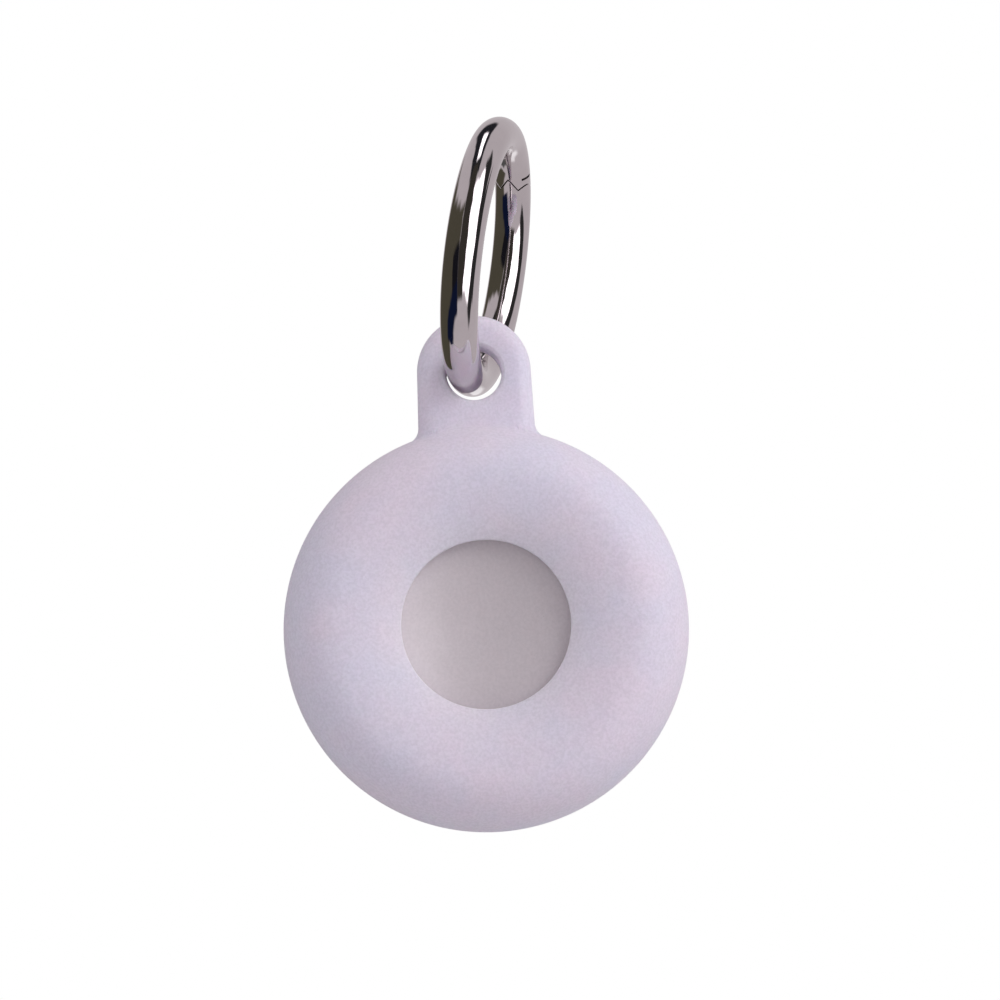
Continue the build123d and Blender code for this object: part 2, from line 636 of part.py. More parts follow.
def zigzag_drum(gap):
    """All that lies nearer the hinge pin than the zigzag latch seam. The seam is turned about the pin, so
    the gate swings clear of it. On the outside of the ring a lip of the body reaches over the gate's end."""
    low = LATCH_REACH - gap - TOOTH_DEPTH / 2
    high = LATCH_REACH - gap + TOOTH_DEPTH / 2
    tooth = WIRE_D / 4
    teeth = [(i * tooth, low if i % 2 else high) for i in range(-4, 5)]
    outline = Polyline((-4 * tooth, 0), *teeth, (4 * tooth, 0), close=True)
    drum = Pos(0, PIN_Y, PIN_Z) * revolve(make_face(outline), Axis.X, 360)
    outside = Cylinder(RING_OD, 2 * WIRE_D) - Cylinder(RING_OD / 2 - LATCH_LIP_T - gap, 2 * WIRE_D)
    lip = Rot(0, 90, 0) * outside - at_pin(LATCH_REACH - LATCH_LIP_L - gap, 3 * WIRE_D)
    return drum - lip


def latch_groove():
    """A narrow straight groove on the right side of the ring body, just above the latch."""
    along = radians(LATCH_GROOVE_ANGLE)
    groove_r = RING_R - LATCH_GROOVE_INSET
    place = Pos(WIRE_R, groove_r * sin(along), groove_r * cos(along))
    slot = Box(2 * LATCH_GROOVE_DEPTH, LATCH_GROOVE_W, LATCH_GROOVE_L)
    return place * Rot(-LATCH_GROOVE_TURN, 0, 0) * slot


def ring_body():
    """The fixed C: a forked end at the hinge pin and a zigzag nose at the latch."""
    void = (gate_wedge() & zigzag_drum(0)) - at_pin(EAR_R, 2 * WIRE_D)
    body = wire_ring() - void - at_pin(SLOT_R, SLOT_W) - at_pin(PIN_D / 2, 2 * WIRE_D)
    return body - latch_groove()


def ring_gate():
    """The hinged arc: a zigzag end, hollow shoulders round the fork's ears, and a tongue on the pin."""
    space = gate_wedge() & zigzag_drum(SEAM)
    arc = (wire_ring() & space) - at_pin(EAR_R + SEAM, 2 * WIRE_D)
    neck = at_pin(EAR_R + 4 * SEAM, TONGUE_W, TONGUE_MIDDLE) & gate_wedge()
    tongue = wire_ring() & (neck + at_pin(TONGUE_R, TONGUE_W, TONGUE_MIDDLE))
    return arc + tongue - at_pin(PIN_D / 2 + PIN_CLEAR, 2 * WIRE_D)


def gate_hinge_pin():
    """The cross pin, its ends flush with the wire."""
    return at_pin(PIN_D / 2, 2 * sqrt(WIRE_R**2 - (PIN_D / 2) ** 2))


def gate_spring():
    """The torsion spring beside the tongue: a closed coil round the pin with two legs along the wire."""
    room = SLOT_W / 2 - TONGUE_MIDDLE - TONGUE_W / 2
    middle = SLOT_W / 2 - room / 2
    width = room - 2 * SPRING_SIDE
    coil_r = PIN_D / 2 + SPRING_COIL_CLEAR + SPRING_WIRE_D / 2
    coil = at_pin(coil_r + SPRING_WIRE_D / 2, width, middle)
    coil -= at_pin(coil_r - SPRING_WIRE_D / 2, SLOT_W, middle)
    legs = Pos(middle, 0, coil_r) * Rot(90, 0, 0) * Cylinder(SPRING_WIRE_D / 2, 2 * SPRING_LEG_L)
    return coil + Pos(0, PIN_Y, PIN_Z) * Rot(90 - PIN_ANGLE, 0, 0) * Rot(90, 0, 0) * legs


# ---------------------------------------------------------------- where each piece goes
TAG_PARTS = {
    "silicone_sleeve": silicone_sleeve,
    "front_cover": front_cover,
    "rear_bezel": rear_bezel,
    "inner_frame": inner_frame,
    "circuit_board": circuit_board,
    "radio_chip": radio_chip,
    "shield_can": shield_can,
    "accelerometer": accelerometer,
    "crystal": crystal,
    "chip_capacitors": chip_capacitors,
    "chip_inductors": chip_inductors,
    "bluetooth_antenna": bluetooth_antenna,
    "nfc_coil": nfc_coil,
    "speaker_basket": speaker_basket,
    "magnet_yoke": magnet_yoke,
    "speaker_magnet": speaker_magnet,
    "pole_plate": pole_plate,
    "speaker_diaphragm": speaker_diaphragm,
    "voice_coil": voice_coil,
    "positive_contacts": positive_contacts,
    "negative_contact": negative_contact,
    "battery_can": battery_can,
    "battery_cap": battery_cap,
    "battery_gasket": battery_gasket,
    "battery_core": battery_core,
    "battery_cover": battery_cover,
    "cover_carrier": cover_carrier,
    "cover_foam_pad": cover_foam_pad,
    "seal_ring": seal_ring,
}
RING_PARTS = {
    "ring_body": ring_body,
    "ring_gate": ring_gate,
    "gate_hinge_pin": gate_hinge_pin,
    "gate_spring": gate_spring,
}

for name, make in TAG_PARTS.items():
    export_step(Pos(*TAG_CENTRE) * make(), f"parts/{name}.step")
for name, make in RING_PARTS.items():
    export_step(Pos(*RING_CENTRE) * RING_PLACE * make(), f"parts/{name}.step")
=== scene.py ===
"""Bluetooth tracker tag: a dished silicone holder on a polished spring-gate ring.

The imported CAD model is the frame. The holder, the ring and its gate, the window's cover and the battery
cover are made here as smooth surfaces in the places that the frame gives. Lengths are worked out in
millimetres and turned into metres where a mesh is made.
"""

import json
from math import cos, pi, radians, sin, sqrt

import bmesh
import bpy
import numpy as np
from mathutils import Matrix, Vector


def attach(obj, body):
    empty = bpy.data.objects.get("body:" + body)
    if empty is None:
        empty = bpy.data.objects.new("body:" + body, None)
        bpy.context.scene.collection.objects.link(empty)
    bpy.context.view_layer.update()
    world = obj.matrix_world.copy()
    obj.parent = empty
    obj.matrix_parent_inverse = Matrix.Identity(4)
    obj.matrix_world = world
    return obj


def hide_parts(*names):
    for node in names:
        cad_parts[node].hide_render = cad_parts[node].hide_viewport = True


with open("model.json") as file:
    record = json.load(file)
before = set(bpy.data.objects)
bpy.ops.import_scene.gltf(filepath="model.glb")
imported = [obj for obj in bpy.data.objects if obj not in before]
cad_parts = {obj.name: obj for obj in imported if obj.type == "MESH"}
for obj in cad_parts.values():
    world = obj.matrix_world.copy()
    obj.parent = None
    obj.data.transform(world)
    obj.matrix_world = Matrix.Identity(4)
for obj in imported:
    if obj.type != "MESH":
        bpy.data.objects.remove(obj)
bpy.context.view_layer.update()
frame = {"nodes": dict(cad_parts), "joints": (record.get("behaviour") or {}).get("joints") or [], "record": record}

MM = 0.001
RECORD = frame["record"]
JOINTS = {joint["name"]: joint for joint in frame["joints"]}


# ------------------------------------------------------------------ places that the frame gives
def joint_place(name):
    """A joint's point, in millimetres."""
    return np.array(JOINTS[name]["pos_m"]) / MM


RING_CENTRE = joint_place("sleeve_swing")
RING_AXIS = -np.array(JOINTS["sleeve_swing"]["axis"])
TAG_CENTRE = joint_place("tracker_turn")
RING_FAR = np.cross((0, 0, 1), RING_AXIS)
RING_FAR = RING_FAR / np.linalg.norm(RING_FAR)
RING_UP = np.cross(RING_AXIS, RING_FAR)


def from_tag(points):
    """Tag places, x and z across the tag and y along its axis, in the frame's own axes."""
    return points + TAG_CENTRE


def from_ring(points):
    """Ring places, x along the ring's axis, y to its far side and z up, in the frame's own axes."""
    return RING_CENTRE + points @ np.array([RING_AXIS, RING_FAR, RING_UP])


# ------------------------------------------------------------------ meshes from grids
def grid_faces(rows, columns, wrap_rows, wrap_columns):
    """Quads of a grid of points, joined round on itself in either direction if asked."""
    i = np.arange(rows if wrap_rows else rows - 1)
    j = np.arange(columns if wrap_columns else columns - 1)
    i, j = np.meshgrid(i, j, indexing="ij")
    i2, j2 = (i + 1) % rows, (j + 1) % columns
    quads = np.stack([i * columns + j, i2 * columns + j, i2 * columns + j2, i * columns + j2], axis=-1)
    return quads.reshape(-1, 4)


def make_mesh(name, points, faces, sharp=40):
    """A mesh object in metres, its normals turned outwards. faces is a list of lists of point numbers."""
    mesh = bpy.data.meshes.new(name)
    mesh.from_pydata((np.asarray(points) * MM).tolist(), [], faces)
    mesh.validate()
    piece = bpy.data.objects.new(name, mesh)
    bpy.context.scene.collection.objects.link(piece)
    outwards(mesh)
    smooth(mesh, sharp)
    return piece


def outwards(mesh):
    """Turns a closed mesh right side out if its signed volume is negative."""
    mesh.calc_loop_triangles()
    corners = np.empty(len(mesh.loop_triangles) * 3, np.int32)
    mesh.loop_triangles.foreach_get("vertices", corners)
    places = np.empty(len(mesh.vertices) * 3)
    mesh.vertices.foreach_get("co", places)
    a, b, c = (places.reshape(-1, 3)[corners.reshape(-1, 3)[:, k]] for k in range(3))
    if np.einsum("ij,ij->i", a, np.cross(b, c)).sum() < 0:
        mesh.flip_normals()


def smooth(mesh, sharp):
    """Smooth shading that breaks at edges sharper than the angle."""
    mesh.polygons.foreach_set("use_smooth", np.ones(len(mesh.polygons), bool))
    mesh.set_sharp_from_angle(angle=radians(sharp))
    mesh.update()


def arc(centre, radius, start, end, count):
    """Points of a round corner in a profile: radius along x and place on the axis along y."""
    turn = np.radians(np.linspace(start, end, count))
    return np.stack([centre[0] + radius * np.cos(turn), centre[1] + radius * np.sin(turn)], axis=-1)


def eased(share):
    """Goes smoothly from 0 to 1 as share does: 3 share squared - 2 share cubed."""
    share = np.clip(share, 0, 1)
    return share * share * (3 - 2 * share)


def line(start, end, count):
    """Evenly spaced points from start to end."""
    t = np.linspace(0, 1, count)[:, None]
    return np.array(start) * (1 - t) + np.array(end) * t


def capped(name, grid, first, last, sharp=40):
    """A closed skin: a grid of rows that each run once round, its first and last rows closed to points."""
    rows, columns = grid.shape[:2]
    points = np.vstack([grid.reshape(-1, 3), [first, last]])
    step = np.arange(columns)
    after = (step + 1) % columns
    ends = (rows - 1) * columns
    near = np.stack([np.full(columns, rows * columns), after, step], axis=-1)
    far = np.stack([ends + step, ends + after, np.full(columns, rows * columns + 1)], axis=-1)
    faces = grid_faces(rows, columns, False, True).tolist() + near.tolist() + far.tolist()
    return make_mesh(name, points, faces, sharp)


def turned(name, profile, steps, sharp=40):
    """A profile (radius, place on the axis) from the tag's axis back to it, carried once round the axis."""
    angle = np.arange(steps) * 2 * pi / steps
    profile = np.asarray(profile)
    radius, place = profile[1:-1, 0][:, None], profile[1:-1, 1][:, None]
    grid = np.stack([radius * np.cos(angle), place + 0 * angle, radius * np.sin(angle)], axis=-1)
    ends = [from_tag(np.array([0, profile[k, 1], 0])) for k in (0, -1)]
    return capped(name, from_tag(grid), *ends, sharp)


# ------------------------------------------------------------------ the silicone holder
BODY_R = 20.0
CREST_R = 14.5
CREST_Y = 6.5
LAND_OUT_R = 15.2
LAND_IN_R = 14.0
WINDOW_R = 8.25
LIP_OUT_Y = -4.85
LIP_IN_Y = -3.95
LIP_ROUND = 0.22
REAR_R = 13.2
REAR_LIP_Y = 5.8
POCKET_REAR_Y = 4.45
POCKET_R = 16.2
POCKET_REAR_ROUND = 2.7
POCKET_FRONT_ROUND = 3.2
POCKET_FLAT_R = 11.6  # the pocket's front wall is flat inside this
LUG_HOLE_Z = 25.4
LUG_TOP_Z = 25.75  # centre of the lug's round top
LUG_TOP_R = 5.7
LUG_FLARE = 0.15
LUG_ROOT_R = 1.6
LUG_HALF_T = 1.8
LUG_EDGE = 1.5
HOLE_R = 2.75
HOLE_ROUND = 0.45
NECK_FROM = 17.0
NECK_LENGTH = 6.5
NECK_RISE = 3.0
NECK_ROUND = 0.8  # how much rounder the lug's edge gets where the neck rises
LUG_SPREAD = (20.0, 34.0)  # degrees off the top where the lug starts to fade and where it is gone
LUG_BLEND = 1.6
LUG_BLEND_EDGE = 2.0
BODY_FALL = 12.0  # how steeply the body's height falls away past its rim


def lug_corner():
    """The root fillet's centre and its two ends, right of the lug: one on the body, one on the lug's side.
    The centre is LUG_ROOT_R off the lug's side line and BODY_R + LUG_ROOT_R from the body's centre."""
    foot = np.array([LUG_TOP_R + LUG_FLARE, sqrt(BODY_R**2 - (LUG_TOP_R + LUG_FLARE) ** 2)])
    top = np.array([LUG_TOP_R, LUG_TOP_Z])
    along = (top - foot) / np.linalg.norm(top - foot)
    outward = np.array([along[1], -along[0]])
    base = foot + outward * LUG_ROOT_R
    reach = BODY_R + LUG_ROOT_R
    b = base @ along
    slide = -b + sqrt(b * b - base @ base + reach**2)
    centre = base + along * slide
    return centre, centre * BODY_R / reach, centre - outward * LUG_ROOT_R


def holder_outline():
    """The front outline, once round from the bottom: the body's arc, a concave fillet, the lug's side, its
    round top, and the same again mirrored. Each stretch has its own spacing."""
    centre, on_body, on_side = lug_corner()
    start = np.arctan2(on_body[1], on_body[0])
    body = np.linspace(-pi / 2, start, 96)[:-1]
    body = np.stack([BODY_R * np.cos(body), BODY_R * np.sin(body)], axis=-1)
    a1 = np.arctan2(on_body[1] - centre[1], on_body[0] - centre[0])
    a2 = np.arctan2(on_side[1] - centre[1], on_side[0] - centre[0])
    a1, a2 = a1 % (2 * pi), a2 % (2 * pi)
    fillet = np.linspace(a1, a2, 15)[:-1]
    fillet = centre + LUG_ROOT_R * np.stack([np.cos(fillet), np.sin(fillet)], axis=-1)
    side = line(on_side, (LUG_TOP_R, LUG_TOP_Z), 15)[:-1]
    top = np.linspace(0, pi / 2, 27)
    top = np.array([0, LUG_TOP_Z]) + LUG_TOP_R * np.stack([np.cos(top), np.sin(top)], axis=-1)
    right = np.vstack([body, fillet, side, top])
    left = right[1:-1][::-1] * [-1, 1]
    return np.vstack([right, left])


def soft_max(a, b, reach):
    """The larger of two heights, plus (reach - difference) squared / (4 reach) where they are in reach."""
    near = np.maximum(reach - np.abs(a - b), 0)
    return np.maximum(a, b) + near**2 / (4 * np.maximum(reach, 1e-6))


def edge_distance(places, outline):
    """Distance of each place from the nearest straight stretch of the outline."""
    along = np.roll(outline, -1, axis=0) - outline
    away = places[..., None, :] - outline
    share = np.clip((away * along).sum(-1) / (along**2).sum(-1), 0, 1)
    return np.linalg.norm(away - share[..., None] * along, axis=-1).min(-1)


def holder_half(outline, foot_r, depth, steps):
    """Half thickness of the holder from a circle of radius foot_r out to the outline. Each spoke runs from
    the circle to an outline point, its points at the sine of even steps. The body is a quarter of an ellipse
    across: depth times the root of 1 - across squared. The lug is a flat plate whose edge is a quarter
    circle, and a neck eases from it up to the body as the cube of its nearness."""
    polar = np.arctan2(outline[:, 1], outline[:, 0])
    foot = foot_r * np.stack([np.cos(polar), np.sin(polar)], axis=-1)
    t = np.linspace(0, 1, steps)[None, :, None]
    place = foot[:, None] + (outline - foot)[:, None] * np.sin(t * pi / 2)
    radius = np.linalg.norm(place, axis=-1)
    across = (radius - foot_r) / (BODY_R - foot_r)
    body = depth * np.sqrt(np.maximum(1 - across**2, 0)) - np.maximum(across - 1, 0) * BODY_FALL
    edge = edge_distance(place, outline)
    neck = np.clip(1 - (radius - NECK_FROM) / NECK_LENGTH, 0, 1) ** 3 * NECK_RISE
    full = LUG_HALF_T + neck
    rounding = LUG_EDGE + neck * NECK_ROUND
    plate = full * np.sqrt(np.clip(1 - (1 - np.minimum(edge / rounding, 1)) ** 2, 0, 1))
    off_top = np.abs(np.degrees(np.arctan2(place[..., 0], place[..., 1])))
    lug = eased((LUG_SPREAD[1] - off_top) / (LUG_SPREAD[1] - LUG_SPREAD[0]))
    height = soft_max(body, plate * lug, LUG_BLEND * lug * np.minimum(edge / LUG_BLEND_EDGE, 1))
    height[:, -1] = 0
    return place, height


def tangent_arc(start, end, count):
    """Points of the arc that leaves start level and ends at end: its radius is
    (run squared + rise squared) / (2 rise)."""
    run, rise = end[0] - start[0], end[1] - start[1]
    radius = (run**2 + rise**2) / (2 * rise)
    x = np.linspace(0, run, count)
    y = radius - np.copysign(np.sqrt(radius**2 - x**2), radius)
    return np.stack([start[0] + x, start[1] + y], axis=-1)


def holder():
    """The silicone holder: one closed grid, round the outline one way and round the wall's section the
    other. Near the window and in the pocket the section is a profile turned about the axis."""
    outline = holder_outline()
    polar = np.arctan2(outline[:, 1], outline[:, 0])
    slope = tangent_arc((CREST_R, -CREST_Y), (WINDOW_R + LIP_ROUND * 0.8, LIP_OUT_Y), 22)[::-1]
    lip = np.vstack([
        arc((WINDOW_R + LIP_ROUND, LIP_IN_Y - LIP_ROUND), LIP_ROUND, 90, 180, 5),
        arc((WINDOW_R + LIP_ROUND, LIP_OUT_Y + LIP_ROUND), LIP_ROUND, 180, 262, 6),
    ])
    rear_round, front_round = POCKET_REAR_ROUND, POCKET_FRONT_ROUND
    rear = np.vstack([
        line((LAND_OUT_R - 0.05, CREST_Y), (LAND_IN_R, CREST_Y), 4),
        tangent_arc((LAND_IN_R, CREST_Y), (REAR_R + 0.15, REAR_LIP_Y + 0.1), 8)[1:],
        arc((REAR_R + 0.2, REAR_LIP_Y - 0.15), 0.2, 100, 180, 4),
        arc((REAR_R + 0.15, POCKET_REAR_Y + 0.15), 0.15, 180, 270, 4),
        arc((POCKET_R - rear_round, POCKET_REAR_Y - rear_round), rear_round, 90, 0, 10),
        arc((POCKET_R - front_round, LIP_IN_Y + front_round), front_round, 0, -90, 12),
        line((POCKET_FLAT_R, LIP_IN_Y), (WINDOW_R + LIP_ROUND + 0.3, LIP_IN_Y), 3),
    ])

    def carried(profile):
        x = np.cos(polar)[:, None] * profile[None, :, 0]
        z = np.sin(polar)[:, None] * profile[None, :, 0]
        return np.stack([x, np.broadcast_to(profile[None, :, 1], x.shape), z], axis=-1)

    front_place, front_height = holder_half(outline, CREST_R, CREST_Y, 34)
    rear_place, rear_height = holder_half(outline, LAND_OUT_R, CREST_Y, 34)
    front = np.stack([front_place[..., 0], -front_height, front_place[..., 1]], axis=-1)
    back = np.stack([rear_place[..., 0], rear_height, rear_place[..., 1]], axis=-1)[:, ::-1]
    grid = np.concatenate([carried(lip), carried(slope[:-1]), front, back[:, 1:], carried(rear)], axis=1)
    rows, columns = grid.shape[:2]
    faces = grid_faces(rows, columns, True, True).tolist()
    piece = make_mesh("holder", from_tag(grid.reshape(-1, 3)), faces)
    cut_hole(piece)
    return piece


def cut_hole(piece):
    """Bores the lug with a spool: a straight hole whose rims are rounded."""
    rim = arc((HOLE_R + HOLE_ROUND, LUG_HALF_T - HOLE_ROUND), HOLE_ROUND, 180, 108, 7)
    flare = rim[-1] + (rim[-1] - rim[-2]) / np.linalg.norm(rim[-1] - rim[-2]) * 1.2
    half = np.vstack([line((HOLE_R, 0), (HOLE_R, LUG_HALF_T - HOLE_ROUND), 5)[:-1], rim, [flare]])
    profile = np.vstack([[[0, flare[1]]], half[::-1], half[1:] * [1, -1], [[0, -flare[1]]]])
    cutter = turned("hole_cutter", profile, 96)
    cutter.data.transform(Matrix.Translation((0, 0, LUG_HOLE_Z * MM)))
    cut(piece, cutter)


def apply_modifiers(piece):
    """Replaces the piece's mesh with its finished one."""
    bpy.context.view_layer.update()
    seen = piece.evaluated_get(bpy.context.evaluated_depsgraph_get())
    mesh = bpy.data.meshes.new_from_object(seen)
    piece.modifiers.clear()
    piece.data = mesh


# ------------------------------------------------------------------ the tracker's two visible covers
COVER_R = 16.0
FACE_Y = -3.75
SPLIT_Y = 0.90
SHOULDER_R = 3.0
COVER_WALL = 1.0
COVER_EDGE = 0.08
DISH_R = 9.05
DISH_DEPTH = 1.1
DISH_INNER_R = 8.32
DISH_INNER_DEPTH = 0.9
DISH_LIP_R = 9.35
DISH_LIP_ROUND = 0.25
STEEL_R = 12.7
STEEL_RIM_Y = 3.87
STEEL_T = 0.35
STEEL_RISE = 0.5
STEEL_ROUND = 0.2
STEEL_EDGE = 0.08


def cap(radius, centre_y, edge_y, count):
    """The outline of a shallow round cap, from the axis out to its radius: an arc of the circle whose radius
    is (radius squared + rise squared) / (2 rise)."""
    rise = edge_y - centre_y
    sphere = (radius**2 + rise**2) / (2 * rise)
    r = np.linspace(0, radius, count)
    return np.stack([r, centre_y + sphere - np.copysign(np.sqrt(sphere**2 - r**2), sphere)], axis=-1)


def front_cover():
    """The tracker's front cover, turned about its axis: a dished face, a round shoulder and a side wall."""
    inside_y = FACE_Y + COVER_WALL
    shoulder = (COVER_R - SHOULDER_R, FACE_Y + SHOULDER_R)
    outer_edge = (COVER_R - COVER_EDGE, SPLIT_Y - COVER_EDGE)
    inner_edge = (COVER_R - COVER_WALL + COVER_EDGE, SPLIT_Y - COVER_EDGE)
    profile = np.vstack([
        cap(DISH_R, FACE_Y + DISH_DEPTH, FACE_Y + 0.03, 28),
        arc((DISH_LIP_R, FACE_Y + DISH_LIP_ROUND), DISH_LIP_ROUND, -128, -90, 4),
        line((10, FACE_Y), (COVER_R - SHOULDER_R - 0.2, FACE_Y), 4),
        arc(shoulder, SHOULDER_R, -90, 0, 16),
        arc(outer_edge, COVER_EDGE, 0, 90, 4),
        arc(inner_edge, COVER_EDGE, 90, 180, 4),
        arc(shoulder, SHOULDER_R - COVER_WALL, 0, -90, 12),
        cap(DISH_INNER_R, inside_y + DISH_INNER_DEPTH, inside_y, 16)[::-1],
    ])
    return turned("cover", profile, 160)


def battery_cover():
    """The pressed steel battery cover, turned about its axis: a shallow dome with a rolled rim, a skin of
    one thickness."""
    inside_y = STEEL_RIM_Y + 0.016
    outside_y = inside_y + STEEL_T
    dome_r = STEEL_R - STEEL_ROUND
    profile = np.vstack([
        cap(dome_r, STEEL_RIM_Y + STEEL_RISE + STEEL_T, outside_y, 30),
        arc((dome_r, outside_y - STEEL_ROUND), STEEL_ROUND, 86, 0, 7),
        arc((STEEL_R - STEEL_EDGE, STEEL_RIM_Y + STEEL_EDGE), STEEL_EDGE, 0, -90, 3),
        cap(dome_r, STEEL_RIM_Y + STEEL_RISE, inside_y, 20)[::-1],
    ])
    return turned("steel_cover", profile, 160)


# ------------------------------------------------------------------ the ring and its gate
RING_R = 12.25
WIRE_R = 1.85
PIN_AT = radians(131)  # the hinge pin, down the far side from the top
LATCH_AT = radians(40)
PIN_TO_LATCH = 2 * RING_R * sin((PIN_AT - LATCH_AT) / 2)
TOOTH_W = WIRE_R / 2
TOOTH_DEPTH = 0.95
LATCH_LIP_T = 0.75
LATCH_LIP_L = 0.9
SEAM = 0.1
END_ROUND = 0.08
SLOT_W = 1.7
SLOT_R = WIRE_R + 0.5
TONGUE_W = 1.0
TONGUE_X = -0.25
TONGUE_HUB_R = 1.78
TONGUE_REACH = 0.62
PIN_R = 0.6
PIN_CLEAR = 0.01
WIRE_SKIN = 0.03  # how far under the wire's surface the tongue stays
SCRAP = 5e-6  # metres
GROOVE_AT = radians(29.5)
GROOVE_R = RING_R - 0.95
GROOVE_TURN = radians(47)
GROOVE_HALF_L = 0.8
GROOVE_HALF_W = 0.15
GROOVE_DEPTH = 0.55
SECTION_STEPS = 120


def latch_reach(x, rho, gap):
    """How far the latch seam lies from the hinge pin: a triangle wave across the wire, a lip outside it."""
    wave = np.abs(x) / TOOTH_W % 2
    reach = PIN_TO_LATCH - gap + TOOTH_DEPTH / 2 * (1 - 2 * np.minimum(wave, 2 - wave))
    lip = np.minimum(reach, PIN_TO_LATCH - LATCH_LIP_L - gap)
    return np.where(rho > RING_R + WIRE_R - LATCH_LIP_T - gap, lip, reach)


def angle_at(reach, rho):
    """The angle down the far side where a point at radius rho lies that far from the hinge pin, by the
    cosine rule: (rho squared + ring radius squared - reach squared) / (2 rho ring radius)."""
    share = (rho**2 + RING_R**2 - reach**2) / (2 * rho * RING_R)
    return PIN_AT - np.arccos(np.clip(share, -1, 1))


def ring_stretch(name, first, last, rows):
    """A stretch of the wire between two end faces: a circle carried along the ring. first and last give a
    face's angle at a place of the section, x across and rho from the ring's centre. Each face is a disc of
    rows closed to a point, with a round edge."""
    around = np.arange(SECTION_STEPS) * 2 * pi / SECTION_STEPS
    turn = np.radians(np.linspace(90, 0, 6))[1:]
    small = END_ROUND / WIRE_R
    share = np.concatenate([np.linspace(0.06, 1, 18) * (1 - small), 1 - small * (1 - np.cos(turn))])[:, None]
    inset = np.concatenate([np.zeros(18), END_ROUND * (1 - np.sin(turn))])[:, None] / RING_R
    x, rho = WIRE_R * share * np.sin(around), RING_R + WIRE_R * share * np.cos(around)
    head, tail = first(x, rho) + inset, last(x, rho) - inset
    u = np.linspace(0, 1, rows)[1:-1, None]
    middle = head[-1] * (1 - u) + tail[-1] * u
    x = np.vstack([x, np.broadcast_to(x[-1], middle.shape), x[::-1]])
    rho = np.vstack([rho, np.broadcast_to(rho[-1], middle.shape), rho[::-1]])
    angle = np.vstack([head, middle, tail[::-1]])
    grid = np.stack([x, rho * np.sin(angle), rho * np.cos(angle)], axis=-1)
    ends = [float(face(np.zeros(1), np.full(1, RING_R))[0]) for face in (first, last)]
    ends = [from_ring(np.array([0, RING_R * sin(a), RING_R * cos(a)])) for a in ends]
    return capped(name, from_ring(grid), *ends, 45)


def pin_drum(name, radius, middle, width, rounding=0.0):
    """A drum about the hinge pin. radius is one number or a function of the angle from the wire's direction
    towards the gate. Where it would stand out of the wire it is drawn in to the wire's surface."""
    around = np.arange(72) * 2 * pi / 72
    reach = radius(around) if callable(radius) else radius + 0 * around
    share = np.array([0.5, 1, 1, 1, 1, 0.5])[:, None] * reach
    share[[1, 4]] -= rounding
    x = middle + width * np.array([-0.5, -0.5, -0.5, 0.5, 0.5, 0.5])
    x[[2, 3]] += np.array([1, -1]) * rounding
    along, up = share * np.cos(around), share * np.sin(around)
    pin = np.array([0, RING_R * sin(PIN_AT), RING_R * cos(PIN_AT)])
    y = pin[1] - along * cos(PIN_AT) + up * sin(PIN_AT)
    z = pin[2] + along * sin(PIN_AT) + up * cos(PIN_AT)
    grid = np.stack([np.broadcast_to(x[:, None], y.shape), y, z], axis=-1)
    if callable(radius):
        grid = inside_wire(grid)
    ends = pin + np.array([[x[0], 0, 0], [x[-1], 0, 0]])
    return capped(name, from_ring(grid), *from_ring(ends))


def inside_wire(places):
    """Draws places that lie outside the wire in to just under its surface."""
    rho = np.linalg.norm(places[..., 1:], axis=-1, keepdims=True)
    centre = np.concatenate([0 * rho, places[..., 1:] * RING_R / rho], axis=-1)
    away = places - centre
    far = np.linalg.norm(away, axis=-1, keepdims=True)
    return centre + away * np.minimum(1, (WIRE_R - WIRE_SKIN) / np.maximum(far, 1e-6))


def tongue_reach(around):
    """The tongue is a drum that reaches out into the gate on the gate's side."""
    return TONGUE_HUB_R + TONGUE_REACH * eased((np.cos(around) - 0.35) / 0.4)


def gate_tongue():
    """The gate's tongue, in the slot between the ring's ears."""
    return pin_drum("gate_tongue", tongue_reach, TONGUE_X, TONGUE_W, 0.1)


def groove_cutter():
    """A narrow slot with round ends on the right side of the ring, beside the latch."""
    around = np.arange(48) * 2 * pi / 48
    long = GROOVE_HALF_L * np.sign(np.cos(around)) + GROOVE_HALF_W * np.cos(around)
    wide = GROOVE_HALF_W * np.sin(around)
    depth = np.array([WIRE_R - GROOVE_DEPTH, WIRE_R + 0.4])
    along = np.array([sin(GROOVE_TURN), cos(GROOVE_TURN)])
    across = np.array([cos(GROOVE_TURN), -sin(GROOVE_TURN)])
    middle = GROOVE_R * np.array([sin(GROOVE_AT), cos(GROOVE_AT)])
    flat = middle + long[:, None] * along + wide[:, None] * across
    grid = np.stack([np.concatenate([np.full((48, 1), d), flat], axis=-1) for d in depth])
    ends = [np.concatenate([[d], middle]) for d in depth]
    return capped("groove_cutter", from_ring(grid), *[from_ring(end) for end in ends])


def drop_scraps(mesh):
    """Welds points nearer than SCRAP and closes up edges and faces thinner than SCRAP, which a cut leaves
    along its rim, before and after all faces are made triangles."""
    work = bmesh.new()
    work.from_mesh(mesh)
    bmesh.ops.remove_doubles(work, verts=work.verts, dist=SCRAP)
    bmesh.ops.dissolve_degenerate(work, edges=work.edges, dist=SCRAP)
    bmesh.ops.triangulate(work, faces=work.faces)
    bmesh.ops.remove_doubles(work, verts=work.verts, dist=SCRAP)
    bmesh.ops.dissolve_degenerate(work, edges=work.edges, dist=SCRAP)
    work.to_mesh(mesh)
    work.free()


def cut(piece, cutter):
    """Takes the cutter's space out of the piece and removes the cutter."""
    modifier = piece.modifiers.new("cut", "BOOLEAN")
    modifier.operation = "DIFFERENCE"
    modifier.solver = "EXACT"
    modifier.object = cutter
    apply_modifiers(piece)
    bpy.data.objects.remove(cutter)
    drop_scraps(piece.data)
    smooth(piece.data, 45)


